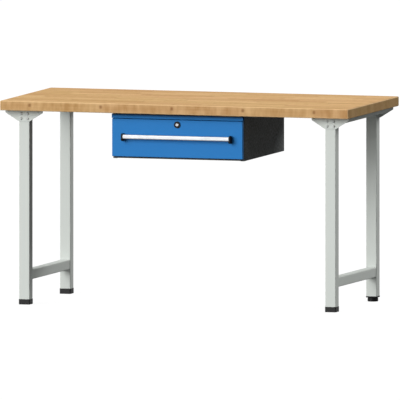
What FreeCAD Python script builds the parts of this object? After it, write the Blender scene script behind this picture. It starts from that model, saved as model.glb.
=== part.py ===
import FreeCAD, Part
import os
import re
import Sketcher

# Workbench with a beech top on two steel leg frames and one drawer hung under the top.
# Millimetres. The origin is on the floor under the middle of the top, X runs to the right,
# Y runs to the rear, so the front faces -Y, and Z runs up.

# Driving sizes: name, value, what it is
SIZES = (
    ("bench_height", 842, "floor to the top's upper face"),
    ("top_length", 1500, "top, left to right"),
    ("top_depth", 700, "top, front to rear"),
    ("top_thickness", 40, "top"),
    ("top_bevel", 3, "bevel along the top's edges"),
    ("frame_inset", 45.5, "top's front and rear edges to the leg frame"),
    ("leg_inset", 68.5, "top's end to the leg's outer face"),
    ("leg_size", 45, "leg tube, outside"),
    ("leg_wall", 2, "leg tube wall"),
    ("leg_corner", 3, "leg tube corner radius"),
    ("rung_size", 40, "tube between the legs, outside"),
    ("rung_wall", 2, "its wall"),
    ("rung_corner", 4, "its corner radius"),
    ("rung_height", 101, "floor to its underside"),
    ("traverse_width", 160, "folded plate under the top"),
    ("traverse_sheet", 3, "its sheet"),
    ("traverse_bend", 4, "bend to its end plates, outside"),
    ("gusset_edge", 11, "end plates, height at their sides"),
    ("gusset_drop", 46, "end plates, below the top"),
    ("gusset_foot", 48, "end plates, lower edge"),
    ("gusset_corner", 5, "end plates, lower corner radius"),
    ("bolt_thread", 6, "bolts in the end plates"),
    ("bolt_head", 10, "hexagon head, across flats"),
    ("bolt_head_height", 4, "head height"),
    ("bolt_end", 6, "bolt's end past the leg's wall"),
    ("bolt_column_gap", 28, "between the two columns"),
    ("bolt_drop", 14, "top's underside to the upper row"),
    ("bolt_row_gap", 20, "between the two rows"),
    ("bolt_play", 0.25, "round a bolt in its hole"),
    ("foot_size", 48, "plastic feet, square"),
    ("foot_height", 22, "plastic feet, below the tube"),
    ("foot_corner", 5, "plastic feet, corner radius"),
    ("foot_bevel", 1.5, "plastic feet, bevel of the lower edge"),
    ("foot_groove_level", 8.5, "groove round a foot, above the floor"),
    ("foot_groove_height", 1.4, "groove round a foot"),
    ("foot_groove_depth", 0.8, "groove round a foot"),
    ("plug_depth", 25, "foot's plug in the tube"),
    ("plug_play", 0.3, "round the plug"),
    ("plug_wall", 3, "hollow plug's wall"),
    ("leveller_flange", 5, "square flange on the tube's end"),
    ("pad_diameter", 44, "levelling pad"),
    ("pad_slope", 2.5, "bevel of its upper edge"),
    ("pad_floor", 5, "under the spindle"),
    ("pad_gap", 0.3, "pad to flange, screwed in"),
    ("spindle_thread", 10, "levelling spindle"),
    ("spindle_length", 58, "levelling spindle"),
    ("spindle_play", 0.06, "round the spindle in its bores"),
    ("housing_width", 564, "drawer housing, outside"),
    ("housing_height", 190.5, "drawer housing"),
    ("housing_sheet", 1.5, "its sheet"),
    ("housing_flange", 22, "sides' upper flange, under the top"),
    ("housing_shelf", 14, "sides' lower flange, under the floor"),
    ("floor_lip", 10, "floor's front edge, turned up"),
    ("back_flange", 14, "back's edges, turned forward"),
    ("front_setback", 45, "top's front edge to the drawer front"),
    ("front_inset", 1, "housing's sides to the drawer front's edges"),
    ("front_lift", 9.5, "housing's underside to the drawer front"),
    ("front_depth", 20, "drawer front"),
    ("front_sheet", 1.5, "its sheet"),
    ("front_round", 2.2, "radius of its outer edges"),
    ("front_gap", 1, "drawer front to the housing, shut"),
    ("head_rail_drop", 5.5, "top's underside to the fixed rail over the drawer front"),
    ("head_rail_height", 18, "fixed rail over the drawer front"),
    ("head_rail_gap", 2, "rail to drawer front"),
    ("strike_lip", 12, "rail's rear edge, turned up for the lock"),
    ("drawer_sheet", 1.2, "drawer box sheet"),
    ("drawer_overhang", 5, "drawer box past the runner's rear end"),
    ("drawer_height", 120, "drawer box"),
    ("drawer_lift", 19, "housing's underside to the drawer box"),
    ("drawer_shelf", 12, "sides' lower flange, under the drawer floor"),
    ("drawer_hem", 8, "sides' upper flange"),
    ("runner_length", 500, "drawer runner"),
    ("runner_height", 45, "drawer runner"),
    ("runner_thickness", 13, "drawer runner, wall to drawer"),
    ("runner_sheet", 1.2, "its sheet"),
    ("runner_lift", 56, "drawer's underside to the runner's middle"),
    ("runner_setback", 4, "housing's front edge to the runner"),
    ("runner_rear_gap", 46, "runner's rear end to the housing's rear"),
    ("runner_cover", 8.5, "reach of the outer member's flanges"),
    ("runner_overlap", 10.6, "reach of the middle member's flanges"),
    ("runner_slot_length", 70, "slots in the middle member"),
    ("runner_slot_height", 9, "slots in the middle member"),
    ("runner_slot_gap", 150, "from slot to slot"),
    ("ball_diameter", 3.1, "balls in the runner"),
    ("ball_play", 0.05, "over and under a ball"),
    ("ball_row_length", 190, "from the first ball of a row to the last"),
    ("cage_sheet", 0.8, "ball cage"),
    ("cage_play", 0.3, "round the ball cage"),
    ("cage_length", 230, "ball cage"),
    ("cage_setback", 128, "runner's front end to the cage"),
    ("handle_end_gap", 45, "drawer front's edge to the handle"),
    ("handle_height", 17.5, "handle bar"),
    ("handle_thickness", 6, "handle bar"),
    ("handle_round", 4, "radius of the bar's front edges"),
    ("handle_reach", 24, "drawer front to the bar's face"),
    ("handle_drop", 97.5, "top's underside to the bar's middle"),
    ("cap_thickness", 8, "end cap"),
    ("cap_height", 31, "end cap"),
    ("cap_drop", 3, "bar's middle to the end cap's middle, downwards"),
    ("cap_brow", 1, "end cap, in front of the bar"),
    ("cap_round", 7, "radius of its front corners"),
    ("cap_bevel", 2, "bevel of its outer edges"),
    ("cap_socket", 4, "bar's end in the cap"),
    ("cap_play", 0.15, "round the bar's end"),
    ("boss_width", 14, "foot on the cap, left to right"),
    ("boss_height", 14, "foot on the cap, upright"),
    ("boss_depth", 12, "foot on the cap, front to rear"),
    ("lock_drop", 45, "top's underside to the lock"),
    ("lock_ring", 28, "lock's flange, diameter"),
    ("lock_ring_height", 2.6, "lock's flange"),
    ("lock_ring_bevel", 0.8, "bevel of its edge"),
    ("lock_barrel", 19, "lock's barrel, diameter"),
    ("lock_barrel_end", 2.5, "barrel past the drawer front's rear"),
    ("lock_play", 0.25, "round the barrel"),
    ("core_diameter", 12, "turning core"),
    ("core_play", 0.06, "round the core"),
    ("core_proud", 0.8, "core in front of the flange"),
    ("key_slot_length", 8, "key slot"),
    ("key_slot_width", 2, "key slot"),
    ("key_slot_depth", 6, "key slot"),
    ("lock_nut", 26, "ring nut, diameter"),
    ("lock_nut_height", 4, "ring nut"),
    ("cam_reach", 32, "lock's middle to the cam's tip"),
    ("cam_width", 14, "cam"),
    ("cam_sheet", 2, "cam"),
    ("cam_stem", 8, "core's stem through the cam"),
    ("cam_screw_head", 11, "screw that holds the cam"),
    ("cam_screw_height", 2, "its head"),
)

doc = FreeCAD.newDocument("workbench")
sheet = doc.addObject("Spreadsheet::Sheet", "dims")
for row, (alias, size, note) in enumerate(SIZES, start=1):
    sheet.set(f"A{row}", note)
    sheet.set(f"B{row}", str(size))
    sheet.setAlias(f"B{row}", alias)
doc.recompute()

ALIASES = {alias for alias, size, note in SIZES}
WORD = re.compile(r"[a-z][a-z_]*")
PARTS = []
SIDES = (("left", -1), ("right", 1))

# Places that several pieces share, worked out from the sizes
UNDERSIDE = "(bench_height - top_thickness)"
LEG_X = "(top_length / 2 - leg_inset - leg_size / 2)"
FRAME_FACE = "(top_depth / 2 - frame_inset)"
LEG_Y = f"({FRAME_FACE} - leg_size / 2)"
LEG_TOP = f"({UNDERSIDE} - traverse_sheet)"
GUSSET_FACE = f"({FRAME_FACE} + traverse_sheet)"
PLUG_SIZE = "(leg_size - 2 * leg_wall - 2 * plug_play)"
PAD_HEIGHT = "(foot_height - leveller_flange - pad_gap)"
FRONT = "(front_setback - top_depth / 2)"
FRONT_REAR = f"({FRONT} + front_depth)"
HOUSING_FRONT = f"({FRONT_REAR} + front_gap)"
RUNNER_FRONT = f"({HOUSING_FRONT} + runner_setback)"
RUNNER_REAR = f"({RUNNER_FRONT} + runner_length)"
HOUSING_REAR = f"({RUNNER_REAR} + runner_rear_gap)"
HOUSING_BASE = f"({UNDERSIDE} - housing_height)"
HOUSING_WALL = "(housing_width / 2 - housing_sheet)"
FLOOR_BASE = f"({HOUSING_BASE} + housing_sheet)"
RAIL_TOP = f"({UNDERSIDE} - head_rail_drop)"
RAIL_BASE = f"({RAIL_TOP} - head_rail_height)"
FRONT_TOP = f"({RAIL_BASE} - head_rail_gap)"
FRONT_BASE = f"({HOUSING_BASE} + front_lift)"
FRONT_SIDE = "(housing_width / 2 - front_inset)"
DRAWER_BASE = f"({HOUSING_BASE} + drawer_lift)"
DRAWER_TOP = f"({DRAWER_BASE} + drawer_height)"
DRAWER_REAR = f"({RUNNER_REAR} + drawer_overhang)"
DRAWER_WALL = f"({HOUSING_WALL} - runner_thickness)"
RUNNER_Z = f"({DRAWER_BASE} + runner_lift)"
HANDLE_Z = f"({UNDERSIDE} - handle_drop)"
HANDLE_FACE = f"({FRONT} - handle_reach)"
HANDLE_REAR = f"({HANDLE_FACE} + handle_thickness)"
HANDLE_END = f"({FRONT_SIDE} - handle_end_gap)"
CAP_INNER = f"({HANDLE_END} - cap_thickness)"
LOCK_Z = f"({UNDERSIDE} - lock_drop)"
CORE_FRONT = f"({FRONT} - lock_ring_height - core_proud)"
BARREL_REAR = f"({FRONT_REAR} + lock_barrel_end - cam_sheet)"
CAM_FRONT = f"({FRONT_REAR} + lock_barrel_end)"
CAM_REAR = f"({CAM_FRONT} + cam_sheet)"

# Runner section, counted from the housing wall and from the runner's middle
RACE = "(ball_diameter + 2 * ball_play)"
OUTER_FLANGE = "(runner_height / 2)"
MIDDLE_FLANGE = f"({OUTER_FLANGE} - runner_sheet - {RACE})"
INNER_FLANGE = f"({MIDDLE_FLANGE} - runner_sheet - {RACE})"
OUTER_CAGE_WEB = "(runner_sheet + cage_play)"
MIDDLE_WEB = f"({OUTER_CAGE_WEB} + cage_sheet + cage_play)"
INNER_CAGE_WEB = f"({MIDDLE_WEB} + runner_sheet + cage_play)"
INNER_EDGE = f"({INNER_CAGE_WEB} + cage_sheet + cage_play)"
INNER_WEB = "(runner_thickness - runner_sheet)"
CAGE_FRONT = f"({RUNNER_FRONT} + cage_setback)"


def bound(text):
    """The expression with each size name pointing into the sheet."""
    return WORD.sub(lambda m: "dims." + m.group(0) if m.group(0) in ALIASES else m.group(0), text)


def number(text):
    return sheet.evalExpression(bound(text))


def new_body(label, x="0", y="0", z="0"):
    body = doc.addObject("PartDesign::Body", label)
    body.Label = label
    for letter, place in zip("xyz", (x, y, z)):
        body.setExpression("Placement.Base." + letter, bound(place))
    PARTS.append(body)
    return body


def origin_feature(body, role):
    return next(item for item in body.Origin.OriginFeatures if item.Role == role)


def new_sketch(body, plane, offset="0"):
    sketch = body.newObject("Sketcher::SketchObject", body.Label + "_sketch")
    sketch.AttachmentSupport = [(origin_feature(body, plane + "_Plane"), "")]
    sketch.MapMode = "FlatFace"
    sketch.setExpression("AttachmentOffset.Base.z", bound(offset))
    return sketch


def pin_point(sketch, geometry, point, x, y):
    """Holds one point of the sketch at two expressions, measured from the sketch's origin."""
    for kind, text in (("DistanceX", x), ("DistanceY", y)):
        constraint = Sketcher.Constraint(kind, -1, 1, geometry, point, number(text))
        index = sketch.addConstraint(constraint)
        sketch.setExpression(f"Constraints[{index}]", bound(text))


def draw_outline(sketch, points):
    first = sketch.GeometryCount
    corners = [FreeCAD.Vector(number(x), number(y), 0) for x, y in points]
    count = len(corners)
    for index in range(count):
        sketch.addGeometry(Part.LineSegment(corners[index], corners[(index + 1) % count]), False)
    for index in range(count):
        following = first + (index + 1) % count
        sketch.addConstraint(Sketcher.Constraint("Coincident", first + index, 2, following, 1))
    for index, (x, y) in enumerate(points):
        pin_point(sketch, first + index, 1, x, y)


def draw_circle(sketch, x, y, radius):
    centre = FreeCAD.Vector(number(x), number(y), 0)
    circle = Part.Circle(centre, FreeCAD.Vector(0, 0, 1), number(radius))
    geometry = sketch.addGeometry(circle, False)
    pin_point(sketch, geometry, 3, x, y)
    index = sketch.addConstraint(Sketcher.Constraint("Radius", geometry, number(radius)))
    sketch.setExpression(f"Constraints[{index}]", bound(radius))


def rectangle(x_low, y_low, x_high, y_high):
    return ((x_low, y_low), (x_high, y_low), (x_high, y_high), (x_low, y_high))


def square(side):
    return rectangle(f"-({side}) / 2", f"-({side}) / 2", f"({side}) / 2", f"({side}) / 2")


def hexagon(corners, x="0", y="0"):
    """Six-sided outline of the given size across its corners, about a centre."""
    reach = f"({corners}) / 2"
    waist = f"({corners}) / 4"
    flat = f"({corners}) * sqrt(3) / 4"
    places = ((reach, "0"), (waist, flat), (f"-{waist}", flat), (f"-{reach}", "0"), (f"-{waist}", f"-{flat}"),
              (waist, f"-{flat}"))
    return tuple((f"{x} + {across}", f"{y} + {up}") for across, up in places)


def draw_section(body, plane, low, high, outlines, circles):
    """A sketch square to the plane's axis, at the end from which its normal points to the other end."""
    sketch = new_sketch(body, plane, f"-({high})" if plane == "XZ" else low)
    for points in outlines:
        draw_outline(sketch, points)
    for x, y, radius in circles:
        draw_circle(sketch, x, y, radius)
    return sketch


def add(body, plane, low, high, outlines=(), circles=()):
    """Adds the outlines as a solid from low to high, along the axis square to the plane."""
    pad = body.newObject("PartDesign::Pad", body.Label + "_pad")
    pad.Profile = draw_section(body, plane, low, high, outlines, circles)
    pad.setExpression("Length", bound(f"({high}) - ({low})"))
    doc.recompute()
    return pad


def cut(body, plane, low, high, outlines=(), circles=()):
    """Cuts the outlines away from low to high, and checks that something went."""
    before = body.Shape.Volume
    pocket = body.newObject("PartDesign::Pocket", body.Label + "_pocket")
    pocket.Profile = draw_section(body, plane, low, high, outlines, circles)
    pocket.Reversed = True
    pocket.setExpression("Length", bound(f"({high}) - ({low})"))
    doc.recompute()
    if not body.Shape.Volume < before:
        raise RuntimeError(body.Label + ": a cut took nothing away")


def turn(body, plane, axis, points):
    """Revolves the outline about the sketch's own horizontal or vertical axis."""
    sketch = new_sketch(body, plane)
    draw_outline(sketch, points)
    revolution = body.newObject("PartDesign::Revolution", body.Label + "_turned")
    revolution.Profile = sketch
    revolution.ReferenceAxis = (sketch, [axis])
    revolution.Angle = 360
    doc.recompute()
    return revolution


def repeat(body, features, first, second=None):
    """Repeats features in one or two directions, each an axis, the whole distance and a count."""
    pattern = body.newObject("PartDesign::LinearPattern", body.Label + "_pattern")
    pattern.Originals = features
    for suffix, row in (("", first), ("2", second)):
        if row is None:
            continue
        axis, distance, count = row
        setattr(pattern, "Direction" + suffix, (origin_feature(body, axis + "_Axis"), [""]))
        pattern.setExpression("Length" + suffix, bound(distance))
        setattr(pattern, "Occurrences" + suffix, count)
    body.Tip = pattern
    doc.recompute()


def dress(body, kind, measure, size, wanted):
    """Dresses every edge of the piece that the test picks."""
    base = body.Tip
    names = [f"Edge{index}" for index, edge in enumerate(base.Shape.Edges, start=1) if wanted(edge)]
    if not names:
        raise RuntimeError(body.Label + ": no edge to dress")
    feature = body.newObject("PartDesign::" + kind, body.Label + "_edges")
    feature.Base = (base, names)
    feature.setExpression(measure, bound(size))
    doc.recompute()


def soften(body, radius, wanted):
    dress(body, "Fillet", "Radius", radius, wanted)


def bevel(body, size, wanted):
    dress(body, "Chamfer", "Size", size, wanted)


def near(first, second):
    return abs(first - second) < 1e-4


def lies_along(edge, axis):
    """True for a straight edge parallel to the named axis."""
    if edge.Curve.TypeId != "Part::GeomLine":
        return False
    return near(abs(getattr(edge.Curve.Direction, axis)), 1)


def at(edge, axis, place):
    """True for an edge that lies wholly at one place along the named axis."""
    box = edge.BoundBox
    low = getattr(box, axis.upper() + "Min")
    high = getattr(box, axis.upper() + "Max")
    return near(low, place) and near(high, place)


def mirrored(sign, points):
    """The outline itself, or its mirror image to the left."""
    return tuple((f"{sign} * ({x})", y) for x, y in points)


def bolt_holes(base):
    """Bolt holes of one end plate, from the leg's middle and from the named height of the top's underside."""
    columns = ("-bolt_column_gap / 2", "bolt_column_gap / 2")
    rows = (f"{base} - bolt_drop", f"{base} - bolt_drop - bolt_row_gap")
    return [hexagon("bolt_thread + 2 * bolt_play", x, z) for x in columns for z in rows]


def make_bench_top():
    top = new_body("bench_top", z=UNDERSIDE)
    slab = rectangle("-top_length / 2", "-top_depth / 2", "top_length / 2", "top_depth / 2")
    add(top, "XY", "0", "top_thickness", [slab])
    bevel(top, "top_bevel", lambda edge: True)


def make_traverse(name, sign):
    """Flat plate under the top, its ends folded down over the legs."""
    traverse = new_body(name + "_top_traverse", x=f"{sign} * {LEG_X}", z=UNDERSIDE)
    half = "traverse_width / 2"
    sheet_face = "-traverse_sheet"
    plate = rectangle(f"-{half}", f"-{GUSSET_FACE}", half, GUSSET_FACE)
    add(traverse, "XY", sheet_face, "0", [plate])
    gusset = (
        (f"-{half}", "0"),
        (half, "0"),
        (half, "-gusset_edge"),
        ("gusset_foot / 2", "-gusset_drop"),
        ("-gusset_foot / 2", "-gusset_drop"),
        (f"-{half}", "-gusset_edge"),
    )
    end_plate = [gusset, *bolt_holes("0")]
    add(traverse, "XZ", f"-{GUSSET_FACE}", f"-{FRAME_FACE}", end_plate)
    add(traverse, "XZ", FRAME_FACE, GUSSET_FACE, end_plate)
    foot = number("-gusset_drop")
    soften(traverse, "gusset_corner", lambda edge: lies_along(edge, "y") and at(edge, "z", foot))
    soften(traverse, "traverse_bend", lambda edge: at(edge, "z", 0) and lies_along(edge, "x"))


def make_leg(name, side, end, facing):
    """Square tube, drilled for the bolts on its outward face."""
    leg = new_body(f"{name}_{end}_leg", f"{side} * {LEG_X}", f"{facing} * {LEG_Y}", "foot_height")
    length = f"({LEG_TOP} - foot_height)"
    add(leg, "XY", "0", length, [square("leg_size"), square("leg_size - 2 * leg_wall")])
    outer = number("leg_size / 2")
    soften(leg, "leg_corner", lambda edge: lies_along(edge, "z") and near(abs(edge.BoundBox.XMin), outer))
    low, high = ("leg_size / 2 - leg_wall", "leg_size / 2")
    if facing < 0:
        low, high = (f"-({high})", f"-({low})")
    cut(leg, "XZ", low, high, bolt_holes(f"{UNDERSIDE} - foot_height"))


def make_rung(name, sign):
    rung = new_body(name + "_lower_rung", x=f"{sign} * {LEG_X}", z="rung_height + rung_size / 2")
    reach = f"({FRAME_FACE} - leg_size)"
    add(rung, "XZ", f"-{reach}", reach, [square("rung_size"), square("rung_size - 2 * rung_wall")])
    outer = number("rung_size / 2")
    soften(rung, "rung_corner", lambda edge: lies_along(edge, "y") and near(abs(edge.BoundBox.XMin), outer))


def add_plug(body, base):
    """The square plug that holds a foot in its tube."""
    add(body, "XY", base, f"{base} + plug_depth", [square(PLUG_SIZE)])


def make_foot(name, side, end, facing):
    foot = new_body(f"{name}_{end}_foot", f"{side} * {LEG_X}", f"{facing} * {LEG_Y}")
    add(foot, "XY", "0", "foot_height", [square("foot_size")])
    soften(foot, "foot_corner", lambda edge: lies_along(edge, "z"))
    bevel(foot, "foot_bevel", lambda edge: at(edge, "z", 0))
    outside = square("foot_size + 2 * foot_corner")
    inside = square("foot_size - 2 * foot_groove_depth")
    cut(foot, "XY", "foot_groove_level", "foot_groove_level + foot_groove_height", [outside, inside])
    add_plug(foot, "foot_height")
    hollow = square(f"{PLUG_SIZE} - 2 * plug_wall")
    cut(foot, "XY", "foot_height", "foot_height + plug_depth", [hollow])


def make_leveller():
    """Screw foot: a threaded plug in the tube, a spindle and a round pad."""
    place = (LEG_X, LEG_Y)
    insert = new_body("leveller_insert", *place, "foot_height - leveller_flange")
    add(insert, "XY", "0", "leveller_flange", [square("foot_size")])
    soften(insert, "foot_corner", lambda edge: lies_along(edge, "z"))
    add_plug(insert, "leveller_flange")
    thread = [("0", "0", "spindle_thread / 2 + spindle_play")]
    cut(insert, "XY", "0", "leveller_flange + plug_depth", circles=thread)

    pad = new_body("leveller_pad", *place)
    socket = "spindle_thread / 2 + spindle_play"
    turn(pad, "XZ", "V_Axis", (
        ("0", "0"),
        ("pad_diameter / 2 - foot_bevel", "0"),
        ("pad_diameter / 2", "foot_bevel"),
        ("pad_diameter / 2", f"{PAD_HEIGHT} - pad_slope"),
        ("pad_diameter / 2 - pad_slope", PAD_HEIGHT),
        (socket, PAD_HEIGHT),
        (socket, "pad_floor"),
        ("0", "pad_floor"),
    ))

    spindle = new_body("leveller_spindle", *place, "pad_floor")
    bevel = "(spindle_thread / 10)"
    radius = "spindle_thread / 2"
    turn(spindle, "XZ", "V_Axis", (
        ("0", "0"),
        (f"{radius} - {bevel}", "0"),
        (radius, bevel),
        (radius, f"spindle_length - {bevel}"),
        (f"{radius} - {bevel}", "spindle_length"),
        ("0", "spindle_length"),
    ))


def make_bolts(name, sign):
    """Hexagon bolts through the end plates and into the legs' walls, their shanks with six sides as well."""
    corner = (f"{sign} * {LEG_X} - bolt_column_gap / 2", "0", f"{UNDERSIDE} - bolt_drop - bolt_row_gap")
    bolts = new_body(name + "_frame_bolts", *corner)
    tip = f"({FRAME_FACE} - leg_wall - bolt_end)"
    head = hexagon("2 * bolt_head / sqrt(3)")
    shank = hexagon("bolt_thread")
    features = []
    for facing in (-1, 1):
        head_ends = (GUSSET_FACE, f"({GUSSET_FACE} + bolt_head_height)")
        shank_ends = (tip, GUSSET_FACE)
        if facing < 0:
            head_ends = tuple(f"-{end}" for end in reversed(head_ends))
            shank_ends = tuple(f"-{end}" for end in reversed(shank_ends))
        features.append(add(bolts, "XZ", *head_ends, [head]))
        features.append(add(bolts, "XZ", *shank_ends, [shank]))
    repeat(bolts, features, ("X", "bolt_column_gap", 2), ("Z", "bolt_row_gap", 2))


def make_housing_side(name, sign):
    """Side sheet with a flange under the top and a shelf for the floor."""
    side = new_body(f"housing_{name}_side")
    outer = "housing_width / 2"
    section = (
        (outer, HOUSING_BASE),
        (outer, UNDERSIDE),
        (f"{HOUSING_WALL} - housing_flange", UNDERSIDE),
        (f"{HOUSING_WALL} - housing_flange", f"{UNDERSIDE} - housing_sheet"),
        (HOUSING_WALL, f"{UNDERSIDE} - housing_sheet"),
        (HOUSING_WALL, FLOOR_BASE),
        (f"{HOUSING_WALL} - housing_shelf", FLOOR_BASE),
        (f"{HOUSING_WALL} - housing_shelf", HOUSING_BASE),
    )
    add(side, "XZ", HOUSING_FRONT, HOUSING_REAR, [mirrored(sign, section)])
    edge_x = sign * number(outer)
    base = number(HOUSING_BASE)
    soften(side, "housing_sheet",
           lambda edge: lies_along(edge, "y") and at(edge, "x", edge_x) and at(edge, "z", base))


def make_housing_floor_and_back():
    floor = new_body("housing_floor")
    floor_top = f"({FLOOR_BASE} + housing_sheet)"
    back_face = f"({HOUSING_REAR} - housing_sheet)"
    section = (
        (HOUSING_FRONT, FLOOR_BASE),
        (HOUSING_REAR, FLOOR_BASE),
        (HOUSING_REAR, floor_top),
        (f"{HOUSING_FRONT} + housing_sheet", floor_top),
        (f"{HOUSING_FRONT} + housing_sheet", f"{FLOOR_BASE} + floor_lip"),
        (HOUSING_FRONT, f"{FLOOR_BASE} + floor_lip"),
    )
    add(floor, "YZ", f"-{HOUSING_WALL}", HOUSING_WALL, [section])

    back = new_body("housing_back")
    turned = f"({back_face} - back_flange)"
    section = (
        (f"-{HOUSING_WALL}", HOUSING_REAR),
        (f"-{HOUSING_WALL}", turned),
        (f"housing_sheet - {HOUSING_WALL}", turned),
        (f"housing_sheet - {HOUSING_WALL}", back_face),
        (f"{HOUSING_WALL} - housing_sheet", back_face),
        (f"{HOUSING_WALL} - housing_sheet", turned),
        (HOUSING_WALL, turned),
        (HOUSING_WALL, HOUSING_REAR),
    )
    add(back, "XY", floor_top, f"{UNDERSIDE} - housing_sheet", [section])


def make_head_rail():
    """Fixed rail over the drawer front. Its rear edge, turned up, is what the lock's cam hooks behind."""
    rail = new_body("housing_head_rail")
    strike = f"({HOUSING_FRONT} - front_sheet)"
    section = (
        (FRONT, RAIL_BASE),
        (HOUSING_FRONT, RAIL_BASE),
        (HOUSING_FRONT, f"{RAIL_BASE} + strike_lip"),
        (strike, f"{RAIL_BASE} + strike_lip"),
        (strike, f"{RAIL_BASE} + front_sheet"),
        (f"{FRONT} + front_sheet", f"{RAIL_BASE} + front_sheet"),
        (f"{FRONT} + front_sheet", f"{RAIL_TOP} - front_sheet"),
        (strike, f"{RAIL_TOP} - front_sheet"),
        (strike, RAIL_TOP),
        (FRONT, RAIL_TOP),
    )
    add(rail, "YZ", "-housing_width / 2", "housing_width / 2", [section])
    face = number(FRONT)
    level = number(RAIL_BASE)
    soften(rail, "front_round",
           lambda edge: lies_along(edge, "x") and at(edge, "y", face) and at(edge, "z", level))


def channel(web, web_far, flange, reach):
    """C section of a runner member: a web between two depths, and flanges that end at a reach."""
    return (
        (web, f"-{flange}"),
        (reach, f"-{flange}"),
        (reach, f"runner_sheet - {flange}"),
        (web_far, f"runner_sheet - {flange}"),
        (web_far, f"{flange} - runner_sheet"),
        (reach, f"{flange} - runner_sheet"),
        (reach, flange),
        (web, flange),
    )


def runner_slots():
    """Outlines of three long slots with sloping corners, one behind the other."""
    long_half = "runner_slot_length / 2"
    high_half = "runner_slot_height / 2"
    corner = "runner_slot_height / 3"
    outlines = []
    for step in (-1, 0, 1):
        centre = f"({RUNNER_FRONT} + runner_length / 2 + {step} * runner_slot_gap)"
        outlines.append((
            (f"{centre} - {long_half}", f"{corner} - {high_half}"),
            (f"{centre} - {long_half} + {corner}", f"-{high_half}"),
            (f"{centre} + {long_half} - {corner}", f"-{high_half}"),
            (f"{centre} + {long_half}", f"{corner} - {high_half}"),
            (f"{centre} + {long_half}", f"{high_half} - {corner}"),
            (f"{centre} + {long_half} - {corner}", high_half),
            (f"{centre} - {long_half} + {corner}", high_half),
            (f"{centre} - {long_half}", f"{high_half} - {corner}"),
        ))
    return outlines


def make_runner(name, sign):
    """Three-member runner: one on the housing, one on the drawer and one between, on caged balls."""
    place = {"x": f"{sign} * {HOUSING_WALL}", "z": RUNNER_Z}
    members = (
        ("outer", channel("0", "runner_sheet", OUTER_FLANGE, "runner_cover")),
        ("middle", channel(MIDDLE_WEB, f"{MIDDLE_WEB} + runner_sheet", MIDDLE_FLANGE, "runner_overlap")),
        ("inner", channel("runner_thickness", INNER_WEB, INNER_FLANGE, INNER_EDGE)),
    )
    for member, section in members:
        body = new_body(f"{name}_runner_{member}", **place)
        add(body, "XZ", RUNNER_FRONT, RUNNER_REAR, [mirrored(-sign, section)])
        if member == "middle":
            near_face, far_face = MIDDLE_WEB, f"({MIDDLE_WEB} + runner_sheet)"
            low, high = (f"-{far_face}", f"-{near_face}") if sign > 0 else (near_face, far_face)
            cut(body, "YZ", low, high, runner_slots())

    cages = (
        ("outer", OUTER_CAGE_WEB, "runner_cover", f"({OUTER_FLANGE} - runner_sheet - {RACE} / 2)",
         f"({MIDDLE_WEB} + runner_cover) / 2"),
        ("inner", INNER_CAGE_WEB, "runner_overlap", f"({MIDDLE_FLANGE} - runner_sheet - {RACE} / 2)",
         f"({INNER_EDGE} + runner_overlap) / 2"),
    )
    for cage, web, reach, level, ball_x in cages:
        make_cage(f"{name}_{cage}_ball_cage", -sign, place, web, reach, level, ball_x)


def make_cage(label, sign, place, web, reach, level, ball_x):
    """Bent strip with a row of balls in each of its two arms."""
    cage = new_body(label, **place)
    half = "cage_sheet / 2"
    end = f"{reach} - cage_play"
    section = (
        (web, f"-{level} - {half}"),
        (end, f"-{level} - {half}"),
        (end, f"{half} - {level}"),
        (f"{web} + cage_sheet", f"{half} - {level}"),
        (f"{web} + cage_sheet", f"{level} - {half}"),
        (end, f"{level} - {half}"),
        (end, f"{level} + {half}"),
        (web, f"{level} + {half}"),
    )
    add(cage, "XZ", CAGE_FRONT, f"{CAGE_FRONT} + cage_length", [mirrored(sign, section)])
    first = f"({CAGE_FRONT} + cage_length / 2 - ball_row_length / 2)"
    ball = add_ball(cage, f"{sign} * {ball_x}", first, f"-{level}")
    repeat(cage, [ball], ("Y", "ball_row_length", 2), ("Z", f"2 * {level}", 2))


def add_ball(body, x, y, z):
    """A ball with few faces, from four six-sided sections."""
    sections = []
    for height, width in (("-0.5", "0.5"), ("-0.25", "1"), ("0.25", "1"), ("0.5", "0.5")):
        section = new_sketch(body, "XY", f"{z} + {height} * ball_diameter")
        draw_outline(section, hexagon(f"{width} * ball_diameter", x, y))
        sections.append(section)
    ball = body.newObject("PartDesign::AdditiveLoft", body.Label + "_ball")
    ball.Profile = sections[0]
    ball.Sections = sections[1:]
    ball.Ruled = True
    doc.recompute()
    return ball


def make_drawer_front():
    """Folded tray with its open side to the rear."""
    front = new_body("drawer_front")
    face = rectangle(f"-{FRONT_SIDE}", FRONT_BASE, FRONT_SIDE, FRONT_TOP)
    add(front, "XZ", FRONT, FRONT_REAR, [face])
    plane = number(FRONT)
    soften(front, "front_round", lambda edge: at(edge, "y", plane))
    inside = rectangle(f"front_sheet - {FRONT_SIDE}", f"{FRONT_BASE} + front_sheet",
                       f"{FRONT_SIDE} - front_sheet", f"{FRONT_TOP} - front_sheet")
    cut(front, "XZ", f"{FRONT} + front_sheet", FRONT_REAR, [inside])
    lock_hole = [("0", LOCK_Z, "lock_barrel / 2 + lock_play")]
    cut(front, "XZ", FRONT, f"{FRONT} + front_sheet", circles=lock_hole)

    liner = new_body("drawer_front_liner")
    add(liner, "XZ", f"{FRONT_REAR} - drawer_sheet", FRONT_REAR, [inside], lock_hole)


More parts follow.
